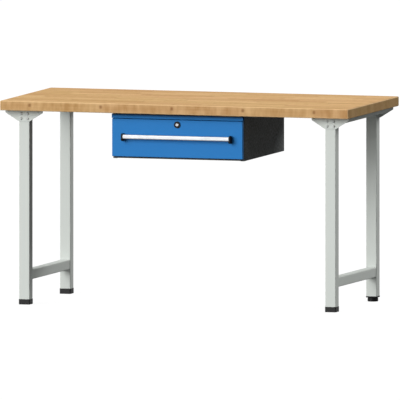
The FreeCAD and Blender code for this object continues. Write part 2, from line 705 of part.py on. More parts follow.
def make_drawer_box():
    shelf = f"({DRAWER_BASE} + drawer_sheet)"
    inner = f"({DRAWER_WALL} - drawer_sheet)"
    hem = f"({DRAWER_TOP} - drawer_sheet)"
    section = (
        (DRAWER_WALL, DRAWER_BASE),
        (DRAWER_WALL, DRAWER_TOP),
        (f"{inner} - drawer_hem", DRAWER_TOP),
        (f"{inner} - drawer_hem", hem),
        (inner, hem),
        (inner, shelf),
        (f"{inner} - drawer_shelf", shelf),
        (f"{inner} - drawer_shelf", DRAWER_BASE),
    )
    for name, sign in SIDES:
        side = new_body(f"drawer_{name}_side")
        add(side, "XZ", FRONT_REAR, DRAWER_REAR, [mirrored(sign, section)])
    floor = new_body("drawer_floor")
    back_face = f"({DRAWER_REAR} - drawer_sheet)"
    add(floor, "XY", shelf, f"{shelf} + drawer_sheet", [rectangle(f"-{inner}", FRONT_REAR, inner, back_face)])
    back = new_body("drawer_back")
    add(back, "XZ", back_face, DRAWER_REAR, [rectangle(f"-{inner}", shelf, inner, hem)])


def make_handle():
    bar = new_body("handle_bar", z=HANDLE_Z)
    end = f"({CAP_INNER} + cap_socket)"
    section = rectangle(HANDLE_FACE, "-handle_height / 2", HANDLE_REAR, "handle_height / 2")
    add(bar, "YZ", f"-{end}", end, [section])
    face = number(HANDLE_FACE)
    soften(bar, "handle_round", lambda edge: lies_along(edge, "x") and at(edge, "y", face))
    for name, sign in SIDES:
        make_handle_cap(name, sign)


def make_handle_cap(name, sign):
    """Plastic end plate that carries the bar, with a boss against the drawer front."""
    cap = new_body(f"{name}_handle_cap", z=HANDLE_Z)
    brow = f"({HANDLE_FACE} - cap_brow)"
    low, high = (CAP_INNER, HANDLE_END) if sign > 0 else (f"-{HANDLE_END}", f"-{CAP_INNER}")
    plate = rectangle(brow, "-cap_drop - cap_height / 2", FRONT, "cap_height / 2 - cap_drop")
    add(cap, "YZ", low, high, [plate])
    tip = number(brow)
    soften(cap, "cap_round", lambda edge: lies_along(edge, "x") and at(edge, "y", tip))
    side = sign * number(HANDLE_END)
    foot = number(FRONT)
    bevel(cap, "cap_bevel", lambda edge: at(edge, "x", side) and not at(edge, "y", foot))
    play = "cap_play"
    socket = rectangle(f"{HANDLE_FACE} - {play}", f"-handle_height / 2 - {play}",
                       f"{HANDLE_REAR} + {play}", f"handle_height / 2 + {play}")
    seat = f"({CAP_INNER} + cap_socket)"
    low, high = (CAP_INNER, seat) if sign > 0 else (f"-{seat}", f"-{CAP_INNER}")
    cut(cap, "YZ", low, high, [socket])
    boss_end = f"({CAP_INNER} - boss_width)"
    low, high = (boss_end, CAP_INNER) if sign > 0 else (f"-{CAP_INNER}", f"-{boss_end}")
    boss = rectangle(f"{FRONT} - boss_depth", "-boss_height / 2", FRONT, "boss_height / 2")
    add(cap, "YZ", low, high, [boss])


def make_lock():
    """Cam lock: flanged barrel and ring nut in the drawer front, and a core that turns the cam."""
    barrel = new_body("lock_barrel", z=LOCK_Z)
    bore = "core_diameter / 2 + core_play"
    ring_face = f"({FRONT} - lock_ring_height)"
    turn(barrel, "XY", "V_Axis", (
        (bore, ring_face),
        ("lock_ring / 2 - lock_ring_bevel", ring_face),
        ("lock_ring / 2", f"{ring_face} + lock_ring_bevel"),
        ("lock_ring / 2", FRONT),
        ("lock_barrel / 2", FRONT),
        ("lock_barrel / 2", BARREL_REAR),
        (bore, BARREL_REAR),
    ))

    nut = new_body("lock_nut", z=LOCK_Z)
    seat = f"({FRONT} + front_sheet)"
    bore = "lock_barrel / 2 + lock_play"
    turn(nut, "XY", "V_Axis", rectangle(bore, seat, "lock_nut / 2", f"{seat} + lock_nut_height"))

    core = new_body("lock_core", z=LOCK_Z)
    turn(core, "XY", "V_Axis", (
        ("0", CORE_FRONT),
        ("core_diameter / 2", CORE_FRONT),
        ("core_diameter / 2", CAM_FRONT),
        ("cam_stem / 2", CAM_FRONT),
        ("cam_stem / 2", CAM_REAR),
        ("0", CAM_REAR),
    ))
    slot = rectangle("-key_slot_width / 2", "-key_slot_length / 2",
                     "key_slot_width / 2", "key_slot_length / 2")
    cut(core, "XZ", CORE_FRONT, f"{CORE_FRONT} + key_slot_depth", [slot])

    cam = new_body("lock_cam", z=LOCK_Z)
    blade = rectangle("-cam_width / 2", "-cam_width / 2", "cam_reach", "cam_width / 2")
    stem = [("0", "0", "cam_stem / 2 + bolt_play")]
    add(cam, "XZ", CAM_FRONT, CAM_REAR, [blade], stem)
    soften(cam, "cam_width / 3", lambda edge: lies_along(edge, "y"))

    screw = new_body("lock_cam_screw", z=LOCK_Z)
    turn(screw, "XY", "V_Axis", (
        ("0", CAM_REAR),
        ("cam_screw_head / 2", CAM_REAR),
        ("cam_screw_head / 3", f"{CAM_REAR} + cam_screw_height"),
        ("0", f"{CAM_REAR} + cam_screw_height"),
    ))


def check_and_write():
    for item in doc.Objects:
        if "Invalid" in item.State or "Error" in item.State:
            raise RuntimeError(item.Label + ": " + ", ".join(item.State))
    for body in PARTS:
        if body.Shape.isNull() or not body.Shape.isValid():
            raise RuntimeError(body.Label + ": no valid shape")
    os.makedirs("parts", exist_ok=True)
    for body in PARTS:
        body.Shape.exportStep(f"parts/{body.Label}.step")


make_bench_top()
for side_name, side_sign in SIDES:
    make_traverse(side_name, side_sign)
    make_rung(side_name, side_sign)
    make_bolts(side_name, side_sign)
    make_housing_side(side_name, side_sign)
    make_runner(side_name, side_sign)
    for end_name, end_sign in (("front", -1), ("rear", 1)):
        make_leg(side_name, side_sign, end_name, end_sign)
        if (side_name, end_name) != ("right", "rear"):
            make_foot(side_name, side_sign, end_name, end_sign)
make_leveller()
make_housing_floor_and_back()
make_head_rail()
make_drawer_front()
make_drawer_box()
make_handle()
make_lock()
doc.recompute()
check_and_write()
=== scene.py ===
"""Looks for a workbench with a drawer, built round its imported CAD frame.

Metres, Z up, the front faces -Y, X runs to the right, as in the CAD model.
"""

import math

import bmesh
import bpy
from mathutils import Matrix, Vector


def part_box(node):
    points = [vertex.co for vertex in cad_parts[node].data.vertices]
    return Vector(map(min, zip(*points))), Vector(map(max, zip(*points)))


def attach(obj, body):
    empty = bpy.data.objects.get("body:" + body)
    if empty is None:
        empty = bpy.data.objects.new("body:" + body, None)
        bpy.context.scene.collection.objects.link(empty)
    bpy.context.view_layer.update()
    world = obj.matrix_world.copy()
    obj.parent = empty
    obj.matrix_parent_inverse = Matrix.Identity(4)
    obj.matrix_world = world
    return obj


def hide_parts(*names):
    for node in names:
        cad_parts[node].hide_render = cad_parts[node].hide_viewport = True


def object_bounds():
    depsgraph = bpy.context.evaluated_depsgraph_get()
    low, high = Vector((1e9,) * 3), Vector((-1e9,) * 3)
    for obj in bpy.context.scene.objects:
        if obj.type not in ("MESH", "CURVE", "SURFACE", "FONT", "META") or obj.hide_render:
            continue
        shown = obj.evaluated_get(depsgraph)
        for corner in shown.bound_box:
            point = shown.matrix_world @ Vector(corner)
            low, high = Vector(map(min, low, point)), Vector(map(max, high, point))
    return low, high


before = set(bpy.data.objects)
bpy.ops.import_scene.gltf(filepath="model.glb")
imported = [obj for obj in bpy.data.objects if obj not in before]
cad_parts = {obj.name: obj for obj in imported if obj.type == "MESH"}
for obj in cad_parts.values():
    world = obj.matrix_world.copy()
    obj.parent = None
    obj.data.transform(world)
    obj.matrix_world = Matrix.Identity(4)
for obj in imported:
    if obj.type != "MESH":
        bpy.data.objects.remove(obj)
cad_low, cad_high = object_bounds()
MM = 0.001
FULL_TURN = 2 * math.pi

# Camera: the photograph is a parallel view, as of a drawing or from very far away
CAMERA_AZIMUTH = math.radians(17.33)
CAMERA_ELEVATION = math.radians(4.67)
CAMERA_DISTANCE = 6.0
CAMERA_TARGET = Vector((0.0027, 0.0, 0.4234))
FIELD_WIDTH = 1.6438

# Light levels, as a share of what shows a colour as it is written
KEY_LEVEL = 1.13
FILL_LEVEL = 0.47
HORIZON_LEVEL = 0.04
ZENITH_LEVEL = 0.50
REFLECTION_LEVEL = 0.45

# Lamps: the way to each from the bench, its distance and its width
KEY_DIRECTION = (-0.50, -0.80, 0.33)
KEY_DISTANCE = 60.0
KEY_SIZE = 43.0
FILL_DIRECTION = (0.62, 0.50, 0.55)
FILL_DISTANCE = 40.0
FILL_SIZE = 14.0

# Floor: dull, so that it throws little light back, with a glow that only the camera and reflections see
FLOOR_REACH = 80.0
FLOOR_SHADE = 0.10
FLOOR_GLOW = 0.94

# Bench top: staves glued side by side, each of short pieces finger-jointed end to end
TOP_DEPTH = 0.7
STAVE_COUNT = 16
STAVE_WIDTH = TOP_DEPTH / STAVE_COUNT
PIECE_LENGTH = 306 * MM
JOINT_OFFSET = 5 * MM
FINGER_LENGTH = 10 * MM
FINGER_PITCH = 3.8 * MM
RING_PITCH = 3.2 * MM

# Marks of the wood: how often each kind repeats along X, Y and Z, per metre
STREAKS = (2.4, 75.0, 75.0)
FIGURE = (52.0, 30.0, 14.0)
FINE_LINES = (16.0, 700.0, 700.0)
FLECKS = (170.0, 1100.0, 1100.0)

# How far each piece's streaks may be shifted, so that they don't run on into the next piece
PIECE_SHIFT = (37.0, 23.0, 29.0)

# Tone of the wood, where 0 is deep and 1 is pale: what each mark adds on the faces, the edges and the ends
TONE_LEVEL = -0.29
STREAK_TONE = 1.25
FINE_TONE = 0.22
PIECE_TONE, PIECE_TONE_EDGE = 0.50, 0.12
FIGURE_TONE, FIGURE_TONE_EDGE = 0.50, 1.90
RING_TONE, RING_TONE_END = 0.05, 0.21
PIECE_END_TONE, PIECE_MIDDLE_TONE = 0.12, -0.16
# Painted highlight: how much paler the long edges grow towards their lower edge
LOWER_ARRIS_HIGHLIGHT = 0.22

# How dark the glue lines are, and the fingers' ends on the faces and the edges
GLUE_DEPTH = 0.30
FINGER_DEPTH, FINGER_DEPTH_EDGE = 0.05, 0.79

# Shares of the normal along an axis between which a face comes to count as turned that way
TURNED = (0.6, 0.9)

# Sheets and bolts, as in the CAD model
TRAVERSE_SHEET = 3 * MM
HOUSING_SHEET = 1.5 * MM
DRAWER_SHEET = 1.2 * MM
BOLT_COLUMN = 14 * MM
BOLT_ROWS = (14 * MM, 34 * MM)
BOLT_RADIUS = 3 * MM
BOLT_LENGTH = 11 * MM
BOLT_HALF_FLATS = 5 * MM
BOLT_HEAD = 4 * MM

# Ball cages, as in the CAD model, which has only the first and last ball of each row
BALL_RADIUS = 1.55 * MM
BALL_ROW_LENGTH = 190 * MM
OUTER_BALL_REACH = 5.55 * MM
CAGE_SHEET = 0.8 * MM

# What the CAD model leaves out: whole rows of balls, bends, the thread, folded edges, screws and rivets
BALLS_PER_ROW = 11
CAGE_BEND = 1.2 * MM
THREAD_PITCH = 1.5 * MM
THREAD_DEPTH = 0.9 * MM
FLANGE_DEPTH = 20.5 * MM
FLANGE_INSET = 16 * MM
TRAVERSE_SCREW_COLUMN = 50 * MM
TRAVERSE_SCREW_ROWS = (-0.20, 0.0, 0.20)
HOUSING_SCREW_ROWS = (-0.23, -0.01, 0.21)
RIVET_SHARES = (0.08, 0.45, 0.9)
RIVET_PROFILE_MM = ((0.0, 0.0), (3.6, 0.0), (3.5, 0.5), (2.9, 1.1),
                    (1.9, 1.5), (1.4, 1.55), (1.2, 1.2), (0.0, 1.2))


def colour(red, green, blue):
    """Linear colour of a screen colour given in 0 to 255."""
    def linear(value):
        value /= 255
        return value / 12.92 if value <= 0.04045 else ((value + 0.055) / 1.055) ** 2.4
    return (linear(red), linear(green), linear(blue), 1.0)


class Look:
    """A material's node tree. Most methods add a node and return the socket to use next."""

    def __init__(self, owner):
        owner.use_nodes = True
        self.owner = owner
        self.tree = owner.node_tree
        self.tree.nodes.clear()

    def add(self, kind, **settings):
        node = self.tree.nodes.new("ShaderNode" + kind)
        for key, value in settings.items():
            setattr(node, key, value)
        return node

    def feed(self, socket, value):
        if isinstance(value, bpy.types.NodeSocket):
            self.tree.links.new(value, socket)
        else:
            socket.default_value = value

    def math(self, operation, *values):
        node = self.add("Math", operation=operation)
        for socket, value in zip(node.inputs, values):
            self.feed(socket, value)
        return node.outputs[0]

    def between(self, share, at_zero, at_one):
        """Number that goes from one value to another as the share goes from 0 to 1."""
        return self.math("MULTIPLY_ADD", share, at_one - at_zero, at_zero)

    def place(self):
        return self.add("TexCoord").outputs["Object"]

    def normal(self):
        return self.add("NewGeometry").outputs["Normal"]

    def split(self, vector):
        node = self.add("SeparateXYZ")
        self.feed(node.inputs[0], vector)
        return tuple(node.outputs)

    def join(self, *values):
        node = self.add("CombineXYZ")
        for socket, value in zip(node.inputs, values):
            self.feed(socket, value)
        return node.outputs[0]

    def vector(self, operation, *values):
        node = self.add("VectorMath", operation=operation)
        for socket, value in zip(node.inputs, values):
            self.feed(socket, value)
        return node.outputs["Value" if operation == "DOT_PRODUCT" else "Vector"]

    def noise(self, vector, scale=1.0, detail=2.0, roughness=0.5):
        node = self.add("TexNoise")
        settings = {"Vector": vector, "Scale": scale, "Detail": detail, "Roughness": roughness}
        for key, value in settings.items():
            self.feed(node.inputs[key], value)
        return node.outputs[0]

    def chance(self, dimensions, key, value):
        """Random value and colour that stay the same for the same input."""
        node = self.add("TexWhiteNoise", noise_dimensions=dimensions)
        self.feed(node.inputs[key], value)
        return node.outputs["Value"], node.outputs["Color"]

    def spread(self, value, low, high, to_low=0.0, to_high=1.0):
        node = self.add("MapRange")
        for socket, number in zip(node.inputs, (value, low, high, to_low, to_high)):
            self.feed(socket, number)
        return node.outputs[0]

    def mix(self, factor, first, second):
        node = self.add("Mix", data_type="RGBA")
        self.feed(node.inputs[0], factor)
        self.feed(node.inputs[6], first)
        self.feed(node.inputs[7], second)
        return node.outputs[2]

    def tint(self, base, mask, strength, second):
        """The base, taken some way towards a second colour where the mask is 1."""
        return self.mix(self.math("MULTIPLY", mask, strength), base, second)

    def bump(self, height, distance):
        node = self.add("Bump")
        node.inputs["Distance"].default_value = distance
        self.feed(node.inputs["Height"], height)
        return node.outputs[0]

    def edges(self, radius):
        """1 along sharp edges, 0 on flat faces."""
        node = self.add("Bevel", samples=4)
        node.inputs["Radius"].default_value = radius
        flat = self.vector("DOT_PRODUCT", node.outputs[0], self.normal())
        return self.spread(flat, 0.995, 0.80)

    def finish(self, base, roughness, normal, **constants):
        shader = self.add("BsdfPrincipled")
        self.feed(shader.inputs["Base Color"], base)
        self.feed(shader.inputs["Roughness"], roughness)
        self.feed(shader.inputs["Normal"], normal)
        for key, value in constants.items():
            shader.inputs[key.replace("_", " ").title().replace("Ior", "IOR")].default_value = value
        self.tree.links.new(shader.outputs[0], self.add("OutputMaterial").inputs["Surface"])
        return self.owner


def new_look(name):
    return Look(bpy.data.materials.new(name))


def beech_pieces(look, x, y, z):
    """Each piece's own tone and random numbers, and the distances to its joint and to the joint's middle."""
    stave = look.math("FLOOR", look.math("DIVIDE", y, STAVE_WIDTH))
    stave_seed, _ = look.chance("1D", "W", stave)
    past_front = look.spread(stave, -STAVE_COUNT / 2, 1 - STAVE_COUNT / 2)
    shift = look.math("MULTIPLY", stave_seed, past_front)
    zigzag = look.math("PINGPONG", look.math("ADD", y, z), FINGER_PITCH)
    finger = look.math("MULTIPLY_ADD", zigzag, FINGER_LENGTH / FINGER_PITCH, JOINT_OFFSET)
    along = look.math("MULTIPLY_ADD", look.math("ADD", x, finger), 1 / PIECE_LENGTH, shift)
    tone, seed = look.chance("2D", "Vector", look.join(stave, look.math("FLOOR", along), 0.0))
    to_joint = look.math("MULTIPLY", look.math("PINGPONG", along, 0.5), PIECE_LENGTH)

    straight = look.math("ADD", x, JOINT_OFFSET + FINGER_LENGTH / 2)
    straight = look.math("MULTIPLY_ADD", straight, 1 / PIECE_LENGTH, shift)
    to_fingers = look.math("MULTIPLY", look.math("PINGPONG", straight, 0.5), PIECE_LENGTH)
    return tone, seed, to_joint, to_fingers


def beech_rings(look, y, z, underside, seed, streak):
    """Growth rings, from -1 to 1, about a heart that lies outside the piece."""
    heart_range_y, heart_y = 240 * MM, 140 * MM
    heart_range_z, heart_z = 120 * MM, underside - 40 * MM
    waviness = 6 * MM
    seed_red, seed_green, _ = look.split(seed)
    positive_y = look.math("ADD", y, 1.0)
    across = look.math("MODULO", positive_y, STAVE_WIDTH)
    from_heart_y = look.math("MULTIPLY_ADD", seed_red, heart_range_y, look.math("SUBTRACT", across, heart_y))
    from_heart_z = look.math("MULTIPLY_ADD", seed_green, heart_range_z, look.math("SUBTRACT", z, heart_z))
    square_y = look.math("MULTIPLY", from_heart_y, from_heart_y)
    square_z = look.math("MULTIPLY", from_heart_z, from_heart_z)
    heart = look.math("SQRT", look.math("ADD", square_y, square_z))
    wavy = look.math("MULTIPLY_ADD", streak, waviness, heart)
    return look.math("SINE", look.math("MULTIPLY", wavy, FULL_TURN / RING_PITCH))


def beech_glue(look, y, z, surface, long_edge, to_joint, to_fingers):
    """Glue lines between pieces and staves, and how dark they and the fingers' ends are."""
    joint = look.spread(to_joint, 0.9 * MM, 0.3 * MM)
    to_seam = look.math("PINGPONG", look.math("DIVIDE", y, STAVE_WIDTH), 0.5)
    seam = look.spread(look.math("MULTIPLY", to_seam, STAVE_WIDTH), 0.6 * MM, 0.2 * MM)
    glue = look.math("MAXIMUM", joint, seam)

    # On the long edges the fingers' ends show as a short dark bar in the upper half
    bar_height, taper_slope = surface - 16 * MM, 3.0
    taper = look.math("PINGPONG", z, FINGER_PITCH / 2)
    fingers = look.spread(look.math("MULTIPLY_ADD", taper, taper_slope, to_fingers), 14 * MM, 6 * MM)
    from_bar = look.math("ABSOLUTE", look.math("SUBTRACT", z, bar_height))
    bar = look.spread(from_bar, 12 * MM, 4 * MM)
    depth = look.between(look.math("MULTIPLY", long_edge, bar), FINGER_DEPTH, FINGER_DEPTH_EDGE)
    fingers = look.math("MULTIPLY", fingers, depth)
    return glue, look.math("MAXIMUM", fingers, look.math("MULTIPLY", glue, GLUE_DEPTH))


def beech_arris_highlight(look, x, y, z, underside, surface, streak):
    """1 along the slab's arrises, from the distance to its second nearest face, where a painted highlight
    goes.
    """
    raggedness = 1.2 * MM
    half = (cad_high - cad_low) / 2
    from_middle = look.math("SUBTRACT", z, (underside + surface) / 2)
    reach_x = look.math("SUBTRACT", look.math("ABSOLUTE", x), half.x)
    reach_y = look.math("SUBTRACT", look.math("ABSOLUTE", y), half.y)
    reach_z = look.math("SUBTRACT", look.math("ABSOLUTE", from_middle), (surface - underside) / 2)
    larger = look.math("MAXIMUM", reach_x, reach_y)
    smaller = look.math("MINIMUM", reach_x, reach_y)
    second = look.math("MAXIMUM", smaller, look.math("MINIMUM", larger, reach_z))
    return look.spread(look.math("MULTIPLY_ADD", streak, raggedness, second), -4.2 * MM, -2.2 * MM)


def make_beech():
    """Oiled beech. Each piece has its own tone and its own place in the log, so rings show on the ends."""
    look = new_look("beech_staves")
    underside, surface = (corner.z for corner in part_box("bench_top"))
    place = look.place()
    x, y, z = look.split(place)
    facing_x, facing_y, _ = look.split(look.normal())
    end_grain = look.spread(look.math("ABSOLUTE", facing_x), *TURNED)
    long_edge = look.spread(look.math("ABSOLUTE", facing_y), *TURNED)
    tone, seed, to_joint, to_fingers = beech_pieces(look, x, y, z)

    # Fibres: long streaks, cloudy figure, fine lines and the short dark flecks of beech
    offset = look.vector("MULTIPLY", seed, PIECE_SHIFT)
    streak = look.noise(look.vector("MULTIPLY_ADD", place, STREAKS, offset), detail=5.0, roughness=0.62)
    figure = look.noise(look.vector("MULTIPLY", place, FIGURE))
    fine = look.noise(look.vector("MULTIPLY", place, FINE_LINES))
    fleck = look.spread(look.noise(look.vector("MULTIPLY", place, FLECKS)), 0.66, 0.74)
    ring = beech_rings(look, y, z, underside, seed, streak)

    # Tone, with the long edges darker in the middle of each piece, and a painted highlight that makes them
    # paler towards the lower edge
    piece_depth = look.between(long_edge, PIECE_TONE, PIECE_TONE_EDGE)
    value = look.math("MULTIPLY", look.math("SUBTRACT", tone, 0.5), piece_depth)
    value = look.math("MULTIPLY_ADD", streak, STREAK_TONE, look.math("ADD", value, TONE_LEVEL))
    figure_depth = look.between(long_edge, FIGURE_TONE, FIGURE_TONE_EDGE)
    value = look.math("MULTIPLY_ADD", look.math("SUBTRACT", figure, 0.5), figure_depth, value)
    middle = look.spread(to_fingers, 20 * MM, PIECE_LENGTH / 2, PIECE_END_TONE, PIECE_MIDDLE_TONE)
    lower = look.spread(z, underside + 14 * MM, underside + 2 * MM, 0.0, LOWER_ARRIS_HIGHLIGHT)
    value = look.math("MULTIPLY_ADD", look.math("ADD", middle, lower), long_edge, value)
    value = look.math("MULTIPLY_ADD", fine, FINE_TONE, value)
    value = look.math("MULTIPLY_ADD", ring, look.between(end_grain, RING_TONE, RING_TONE_END), value)

    # Colour: from deep to pale by the tone, then one tint over the other
    _, _, hue = look.split(seed)
    pale = look.mix(hue, colour(241, 203, 147), colour(237, 194, 143))
    deep = look.mix(hue, colour(200, 158, 101), colour(196, 149, 97))
    base = look.mix(look.spread(value, 0.0, 1.0), deep, pale)
    glue, dark = beech_glue(look, y, z, surface, long_edge, to_joint, to_fingers)
    arris_highlight = beech_arris_highlight(look, x, y, z, underside, surface, streak)
    tints = (
        (fleck, 0.30, colour(136, 90, 52)),
        (dark, 1.0, colour(120, 70, 38)),
        (end_grain, 0.55, colour(126, 106, 71)),
        (long_edge, 0.08, colour(238, 196, 132)),
        # Painted highlight: the arrises paler, as where they catch the light
        (arris_highlight, 0.45, colour(240, 206, 158)),
    )
    for mask, strength, second in tints:
        base = look.tint(base, mask, strength, second)

    fibre_relief, ring_relief = 0.6, 0.1
    height = look.math("MULTIPLY_ADD", fine, fibre_relief, look.math("MULTIPLY", ring, ring_relief))
    height = look.math("SUBTRACT", height, glue)
    roughness = look.spread(streak, 0.3, 0.7, to_low=0.74, to_high=0.62)
    return look.finish(base, roughness, look.bump(height, 0.12 * MM), specular_ior_level=0.04)


def make_coat(name, base, worn, roughness, peel, peel_scale, speck, specular, mottle=0.0, painted_shade_heights=None):
    """Powder coat: orange peel or grain, faint clouds and specks, thinner and shinier on the edges.

    Mottle is how far paler patches go towards the worn colour. The pair of heights given for the
    space just under the bench top bounds a painted shade that darkens the coat upwards between them.
    """
    cloudiness, dimming, darkest, dust_and_shade_cover = 0.10, 0.72, 0.22, 0.92
    edge_wear, edge_shine, rub_range = 0.35, 0.10, 0.06
    look = new_look(name)
    place = look.place()
    clouds = look.noise(place, scale=4.0, detail=3.0)
    specks = look.noise(place, scale=1400.0, detail=1.0)
    grain = look.noise(place, scale=peel_scale, detail=2.0, roughness=0.55)
    edge = look.edges(0.9 * MM)
    shade = look.math("MULTIPLY_ADD", specks, speck, look.math("MULTIPLY", clouds, cloudiness))
    shade = look.spread(shade, 0.0, cloudiness + speck, to_high=darkest)
    dim = tuple(channel * dimming for channel in base[:3]) + (1.0,)
    paint = look.mix(shade, base, dim)
    paint = look.tint(paint, edge, edge_wear, worn)
    if mottle:
        patches = look.noise(place, scale=110.0, detail=2.0, roughness=0.6)
        paint = look.mix(look.spread(patches, 0.32, 0.68, to_high=mottle), paint, worn)
    # Painted shade: between the given heights the coat is darkened upwards towards near black, as shade
    # under the bench top
    if painted_shade_heights:
        _, _, z = look.split(place)
        paint = look.mix(look.spread(z, *painted_shade_heights, to_high=dust_and_shade_cover), paint, colour(5, 14, 22))
    rub = look.noise(place, scale=23.0, detail=4.0, roughness=0.6)
    rub = look.spread(rub, 0.35, 0.7, to_low=roughness + rub_range, to_high=roughness - rub_range)
    rub = look.math("MULTIPLY_ADD", edge, -edge_shine, rub)
    return look.finish(paint, rub, look.bump(grain, peel), specular_ior_level=specular)


def make_plastic(name, base, dusty):
    """Moulded plastic with a fine spark-eroded skin and a little dust."""
    dust_and_shade_cover, edge_wear, clean_roughness, dusty_roughness = 0.30, 0.40, 0.42, 0.60
    look = new_look(name)
    place = look.place()
    skin = look.noise(place, scale=1600.0, detail=2.0)
    dust = look.spread(look.noise(place, scale=45.0, detail=4.0, roughness=0.65), 0.50, 0.80)
    edge = look.edges(0.6 * MM)
    paint = look.tint(base, dust, dust_and_shade_cover, dusty)
    paint = look.tint(paint, edge, edge_wear, colour(52, 52, 53))
    roughness = look.spread(dust, 0.0, 1.0, clean_roughness, dusty_roughness)
    return look.finish(paint, roughness, look.bump(skin, 0.06 * MM), specular_ior_level=0.18)


def make_metal(name, bright, dull, stretch, roughness, depth, mottle):
    """Bare metal with a brushed or rolled direction and a slightly uneven tint."""
    edge_shine, rougher, smoother = 0.30, roughness + 0.08, roughness - 0.06
    look = new_look(name)
    place = look.place()
    lines = look.noise(look.vector("MULTIPLY", place, stretch), detail=3.0, roughness=0.6)
    patches = look.noise(place, scale=mottle, detail=3.0, roughness=0.6)
    average = look.math("MULTIPLY_ADD", lines, 0.5, look.math("MULTIPLY", patches, 0.5))
    base = look.mix(look.spread(average, 0.35, 0.65), dull, bright)
    base = look.tint(base, look.edges(0.5 * MM), edge_shine, bright)
    rough = look.spread(average, 0.3, 0.7, rougher, smoother)
    return look.finish(base, rough, look.bump(lines, depth), metallic=1.0)


BLUE = dict(base=colour(41, 125, 197), worn=colour(90, 155, 214), roughness=0.46, peel=0.08 * MM,
            peel_scale=420.0, speck=0.05, specular=0.12)
LOOKS = {
    "beech": make_beech(),
    "light_grey_paint": make_coat("light_grey_coat", colour(216, 221, 216), colour(229, 232, 229),
                                  roughness=0.58, peel=0.10 * MM, peel_scale=420.0, speck=0.06,
                                  specular=0.06),
    "anthracite_paint": make_coat("anthracite_coat", colour(68, 71, 72), colour(114, 118, 119),
                                  roughness=0.66, peel=0.30 * MM, peel_scale=900.0, speck=0.35,
                                  specular=0.08, mottle=0.8),
    "blue_paint": make_coat("blue_coat", **BLUE),
    "aluminium_bar": make_metal("brushed_aluminium", (0.63, 0.64, 0.655, 1), (0.54, 0.55, 0.565, 1),
                                stretch=(4.0, 1400.0, 1400.0), roughness=0.59, depth=0.03 * MM, mottle=30.0),
    "black_plastic": make_plastic("black_moulding", colour(8, 8, 9), colour(26, 25, 25)),
    "zinc_steel": make_metal("zinc_plate", (0.78, 0.80, 0.82, 1), (0.55, 0.57, 0.60, 1),
                             stretch=(900.0, 30.0, 900.0), roughness=0.34, depth=0.02 * MM, mottle=60.0),
}
FOOT_PLASTIC = make_plastic("grey_black_moulding", colour(37, 37, 37), colour(60, 59, 58))
NICKEL = make_metal("nickel_plate", (0.56, 0.56, 0.57, 1), (0.40, 0.40, 0.41, 1),
                    stretch=(700.0, 700.0, 700.0), roughness=0.22, depth=0.01 * MM, mottle=220.0)
RAIL_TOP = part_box("housing_head_rail")[1].z
# Head rail's blue coat, with painted shade along its top edge under the bench top
BLUE_WITH_PAINTED_SHADE = make_coat("blue_coat_with_painted_shade", **BLUE, painted_shade_heights=(RAIL_TOP - 10 * MM, RAIL_TOP))
DULL_ZINC = make_coat("dull_zinc", colour(204, 208, 205), colour(222, 225, 223), roughness=0.50,
                      peel=0.06 * MM, peel_scale=900.0, speck=0.20, specular=0.10)


def dress_frame():
    for name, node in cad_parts.items():
        for place in node.material_slots:
            look = LOOKS[place.material.name]
            if name == "lock_core":
                look = NICKEL
            elif name == "housing_head_rail":
                look = BLUE_WITH_PAINTED_SHADE
            elif name.endswith("_foot"):
                look = FOOT_PLASTIC
            place.material = look


class Maker:
    """Collects the parts of one piece in a mesh, then hangs it on a body."""

    def __init__(self, name):
        self.name = name
        self.mesh = bmesh.new()

    def skin(self, rows, matrix=Matrix(), material=0):
        """Faces between closed rows of points. A row of one point closes the surface there."""
        made = [[self.mesh.verts.new(matrix @ Vector(point)) for point in row] for row in rows]
        for lower, upper in zip(made, made[1:]):
            count = max(len(lower), len(upper))
            for index in range(count):
                following = (index + 1) % count
                corners = [lower[index % len(lower)], lower[following % len(lower)],
                           upper[following % len(upper)], upper[index % len(upper)]]
                corners = list(dict.fromkeys(corners))
                if len(corners) > 2:
                    face = self.mesh.faces.new(corners)
                    face.smooth = True
                    face.material_index = material
        return made

    def strip(self, rows):
        """Faces between two rows of points, and one over each row."""
        for row in self.skin(rows):
            self.mesh.faces.new(row)

    def lathe(self, profile, matrix, steps=24, material=0):
        """Turns (radius, height) points about the matrix's Z axis."""
        angles = [FULL_TURN * step / steps for step in range(steps)]
        rows = []
        for radius, height in profile:
            if radius == 0:
                rows.append([(0, 0, height)])
            else:
                rows.append([(radius * math.cos(a), radius * math.sin(a), height) for a in angles])
        self.skin(rows, matrix, material)

    def done(self, body, looks, replaced=(), sharp=35.0):
        """Ends the piece. Edges sharper than that many degrees stay sharp."""
        bmesh.ops.recalc_face_normals(self.mesh, faces=self.mesh.faces)
        limit = math.radians(sharp)
        for edge in self.mesh.edges:
            edge.smooth = edge.calc_face_angle(math.pi) < limit
        mesh = bpy.data.meshes.new(self.name)
        self.mesh.to_mesh(mesh)
        self.mesh.free()
        for look in looks:
            mesh.materials.append(look)
        piece = bpy.data.objects.new(self.name, mesh)
        bpy.context.scene.collection.objects.link(piece)
        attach(piece, body)
        if replaced:
            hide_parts(*replaced)


def facing(direction, place):
    """Matrix whose Z axis points along the direction, at a place."""
    turn = Vector(direction).to_track_quat("Z", "Y").to_matrix().to_4x4()
    return Matrix.Translation(place) @ turn


